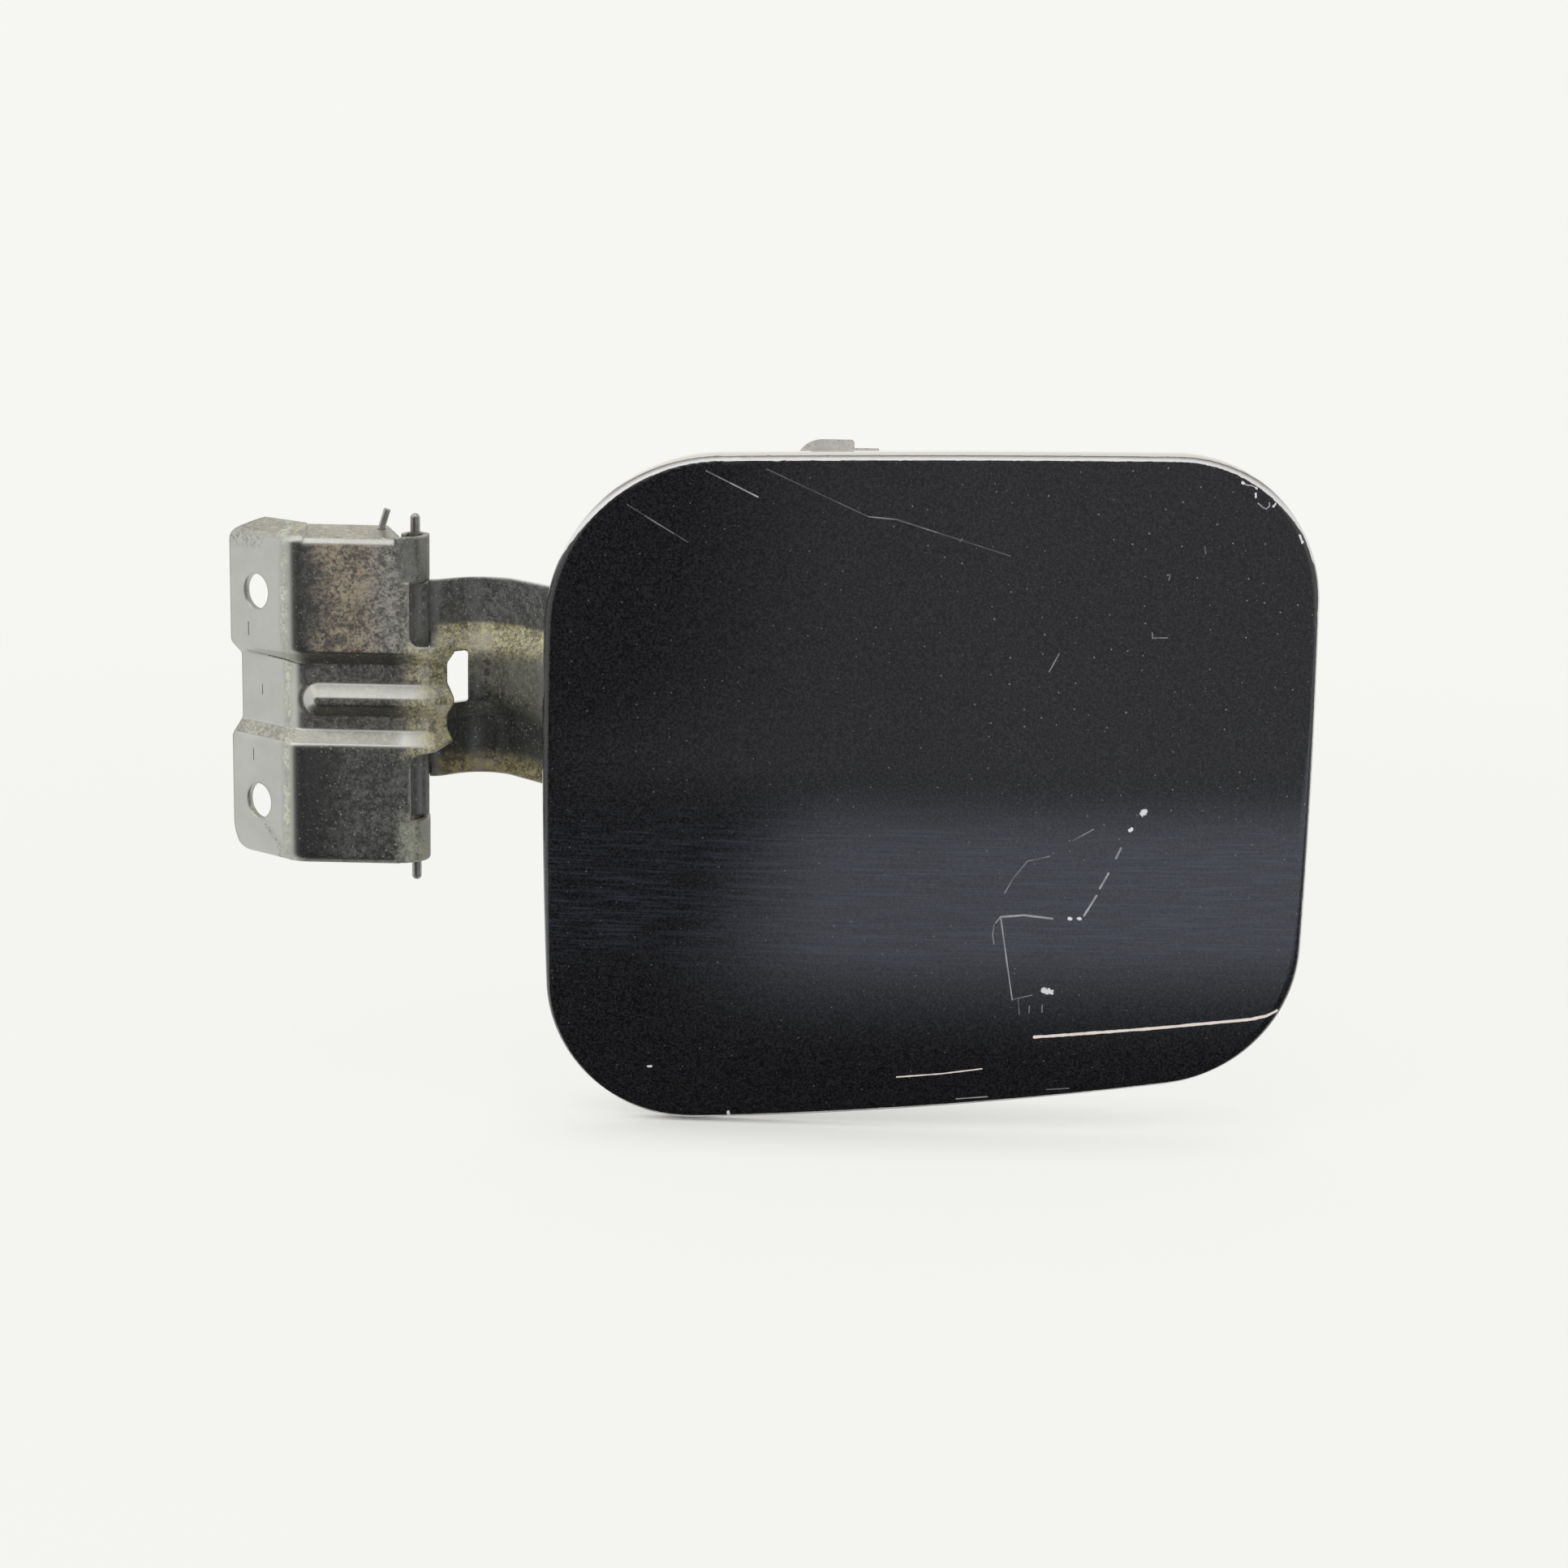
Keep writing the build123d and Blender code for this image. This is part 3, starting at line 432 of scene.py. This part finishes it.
def arm_soil(f, cloud):
    """Golden on the bead's upper flank and on the lower lip, grey on the upper band and the eyes. The bead's
    middle is dusty, with painted shade that darkens it toward its foot.
    """
    front = (0 - f.back).rises(0.05, 0.4)
    rear = f.back.rises(0.0, 0.5)
    neck = f.x.rises(33.5, 36.0)
    along = f.x - 45.0
    flank = (f.z - along * 0.12).rises(7.9, 12.3) * f.z.rises(16.2, 15.2) * neck
    # Dust on the bead's middle with painted shade: lighter toward its top, darker below
    bead_dust_and_shade = (f.z + along * 0.3).rises(-1.0, 6.0) * neck
    lip = f.z.rises(-9.3, -12.8) * neck
    band = f.z.rises(15.0, 16.5).most(1 - neck)
    colour = f.mix(bead_dust_and_shade, (0.040, 0.041, 0.039), (0.115, 0.112, 0.088))
    colour = f.mix(flank, colour, (0.43, 0.40, 0.26))
    colour = f.mix(lip, colour, (0.22, 0.19, 0.10))
    colour = f.mix(band, colour, (0.112, 0.112, 0.110))
    share = (front * 0.90).most(rear * cloud.rises(0.3, 0.7) * REAR_DIRT) + LEAST_DIRT
    return share, f.mix(rear, colour, (0.36, 0.34, 0.27))


def inner_coat():
    """Thin dull dark coat inside the lid, dusty."""
    f = Finish("inner_coat")
    cloud = f.noise(14.0, 4.0, 0.6)
    grain = f.noise(0.9, 3.0, 0.65)
    base = f.mix(cloud.rises(0.3, 0.7), (0.012, 0.013, 0.016), (0.022, 0.023, 0.027))
    dust = (cloud * 0.6 + grain * 0.6).rises(0.45, 0.85) * 0.35
    base = f.mix(dust, base, (0.20, 0.18, 0.14))
    return f.close(f.principled(
        Base_Color=base, Metallic=0.0, Roughness=0.42 + dust * 0.4, Coat_Weight=0.25 - dust * 0.25,
        Coat_Roughness=0.3, Normal=f.bump(grain, 0.02)))


def plain_steel(name, dark, light, rough, dirt=0.6):
    """Plated steel with dull patches and grime."""
    f = Finish(name)
    cloud = f.noise(4.0, 4.0, 0.6)
    grain = f.noise(0.5, 3.0, 0.6)
    base = f.mix(cloud.rises(0.3, 0.7), dark, light)
    grime = (cloud * 0.5 + grain * 0.6).rises(0.55, 0.8) * dirt
    base = f.mix(grime, base, (0.09, 0.075, 0.055))
    return f.close(f.principled(
        Base_Color=base, Metallic=1 - grime * 0.8, Roughness=rough + grime * 0.35 + grain * 0.08,
        Normal=f.bump(grain, 0.005)))


def stop_rubber():
    """Matt black rubber with a grey bloom."""
    f = Finish("stop_rubber")
    cloud = f.noise(3.0, 4.0, 0.6)
    grain = f.noise(0.35, 2.0)
    base = f.mix(cloud.rises(0.35, 0.8), (0.012, 0.012, 0.012), (0.035, 0.034, 0.032))
    return f.close(f.principled(Base_Color=base, Roughness=0.72 + cloud * 0.15, Normal=f.bump(grain, 0.03)))


FINISHES = {
    "outer_panel": lid_paint(),
    "inner_panel": inner_coat(),
    "hinge_bracket": hinge_steel("bracket_steel", bracket_soil),
    "hinge_arm": hinge_steel("arm_steel", arm_soil),
    "hinge_pin": plain_steel("pin_steel", (0.30, 0.29, 0.27), (0.45, 0.44, 0.42), 0.35),
    "hinge_spring": plain_steel("spring_steel", (0.40, 0.40, 0.39), (0.52, 0.52, 0.51), 0.38, 0.2),
    "latch_striker": plain_steel("striker_steel", (0.42, 0.41, 0.37), (0.58, 0.56, 0.50), 0.3),
    "cap_hanger": plain_steel("hanger_steel", (0.30, 0.295, 0.275), (0.42, 0.41, 0.385), 0.45),
}
FINISHES["bump_stop_upper"] = FINISHES["bump_stop_lower"] = stop_rubber()

for name, material in FINISHES.items():
    slots = frame["nodes"][name].data.materials
    slots.clear()
    slots.append(material)

# Wire spring between the bracket and the lid's arm: a copy of the spring's mesh in place of the hidden part

source = frame["nodes"]["hinge_spring"]
wire = bpy.data.objects.new("spring_wire", source.data.copy())
wire.matrix_world = source.matrix_world
bpy.context.scene.collection.objects.link(wire)
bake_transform(wire)
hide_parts("hinge_spring")

# Floor, front card and light

PALE = (0.922, 0.922, 0.896)
LOWEST = cad_box[0].z
FLOOR_GAP = 0.0005      # from the floor to the part's lowest point
CARD_GAP = 0.001        # the card's foot lies this far above that point


def stage_mesh(name, points, faces):
    mesh = bpy.data.meshes.new(name)
    mesh.from_pydata(points, [], faces)
    obj = bpy.data.objects.new(name, mesh)
    bpy.context.scene.collection.objects.link(obj)
    return obj


def floor():
    """Pale floor under the part that fades into the background and keeps a soft shadow."""
    reach = 2.0
    middle = (cad_box[0] + cad_box[1]) / 2
    west, east = middle.x - reach, middle.x + reach
    front, rear = middle.y - reach, middle.y + reach
    corners = [(x, y, LOWEST - FLOOR_GAP) for x, y in ((west, front), (east, front), (east, rear), (west, rear))]
    obj = stage_mesh("floor", corners, [(0, 1, 2, 3)])
    f = Finish("floor_pale")
    out = f.vector("MULTIPLY", f.vector("SUBTRACT", f.spot, tuple(middle / MM)), (1, 1, 0))
    fade = f.vector("LENGTH", out, out="Value").rises(200, 700)
    pale = f.node("ShaderNodeBsdfDiffuse", {}, Color=(0.88, 0.88, 0.855))
    even = f.node("ShaderNodeEmission", {}, Color=PALE, Strength=1.0)
    clear = f.node("ShaderNodeBsdfTransparent", {})
    nearby = 1 - f.node("ShaderNodeAmbientOcclusion", {"samples": 8}, Distance=0.022, out="AO")
    lit = f.over(f.seen() * (0.88 - nearby * 0.95), pale, even)
    obj.data.materials.append(f.close(f.over(fade, lit, clear)))


def front_card():
    """Dim curved card in front of the part, seen only in its gloss, as photographers set one before black paint.
    A paler sheet lies on it, in front of the lid."""
    near, bend, far, right = -0.012, -0.75, -1.3, 1.7
    low, high = LOWEST + CARD_GAP, 1.5
    steps = 8
    line = [(near, low), (bend, low)]
    for step in range(1, steps + 1):
        a = math.radians(90 * step / steps)
        line.append((bend - (bend - far) * math.sin(a), low + (bend - far) * (1 - math.cos(a))))
    line.append((far, high))
    points = [(x, y, z) for y, z in line for x in (1.2 * y + 0.01, right)]     # the left edge slants away
    faces = [(2 * i, 2 * i + 1, 2 * i + 3, 2 * i + 2) for i in range(len(line) - 1)]
    obj = stage_mesh("front_card", points, faces)
    f = Finish("card_dim")
    sheet = f.y.rises(-400, -210) * f.y.rises(-42, -125) * f.x.rises(65, 115)
    away = f.y.rises(-250, -420) * f.x.rises(-100, 110)
    dim = f.mix(away, (0.032, 0.032, 0.034), (0.36, 0.36, 0.37))
    bright = f.mix(sheet, dim, (0.90, 0.96, 1.10))
    bright = f.vector("SCALE", bright, Scale=1.0 + f.x.rises(110, 260) * 0.15)
    glow = f.node("ShaderNodeEmission", {}, Color=bright, Strength=1.0)
    obj.data.materials.append(f.close(glow))
    obj.visible_camera = False
    obj.visible_diffuse = False
    obj.visible_shadow = False
    obj.visible_transmission = False


def world():
    """Pale surroundings, softer where they light the part than where they are seen."""
    studio = bpy.data.worlds.new("studio")
    nodes = Nodes(studio)
    light = nodes.node("ShaderNodeBackground", {}, Color=(1.0, 1.0, 1.0), Strength=0.7)
    shown = nodes.node("ShaderNodeBackground", {}, Color=PALE, Strength=1.0)
    surroundings = nodes.node("ShaderNodeMixShader", {}, nodes.seen(), light, shown)
    nodes.node("ShaderNodeOutputWorld", {}, surroundings, out=None)
    bpy.context.scene.world = studio


def lamp(name, place, aim, size, power):
    """Square soft light at place, turned to aim."""
    data = bpy.data.lights.new(name, "AREA")
    data.size = size
    data.energy = power
    obj = bpy.data.objects.new(name, data)
    obj.location = place
    obj.rotation_euler = (Vector(aim) - Vector(place)).to_track_quat("-Z", "Y").to_euler()
    bpy.context.scene.collection.objects.link(obj)


floor()
front_card()
world()
MIDDLE = (0.09, 0, -0.01)
lamp("key_light", (-0.30, -0.45, 1.2), MIDDLE, 1.7, 7.5)

# Camera

DISTANCE = 0.600
TARGET = Vector((104.25, 0.524, -14.6 - BOLT_LIFT)) * MM
ELEVATION = math.radians(12.0)
ROLL = math.radians(1.2)
FOCAL_PX = 3720.0
FRAME_PX = 1932.0
SENSOR = 36.0           # millimetres across

ahead = Vector((0, math.cos(ELEVATION), -math.sin(ELEVATION)))
level = Vector((1, 0, 0))
above = level.cross(ahead)
right = level * math.cos(ROLL) + above * math.sin(ROLL)
upward = above * math.cos(ROLL) - level * math.sin(ROLL)
camera_data = bpy.data.cameras.new("camera")
camera_data.sensor_width = SENSOR
camera_data.lens = SENSOR * FOCAL_PX / FRAME_PX
camera_data.clip_start = 0.01
camera = bpy.data.objects.new("camera", camera_data)
turn = Matrix((right, upward, -ahead)).transposed().to_4x4()
camera.matrix_world = Matrix.Translation(TARGET - ahead * DISTANCE) @ turn
bpy.context.scene.collection.objects.link(camera)
bpy.context.scene.camera = camera
bpy.context.scene.view_settings.view_transform = "Standard"
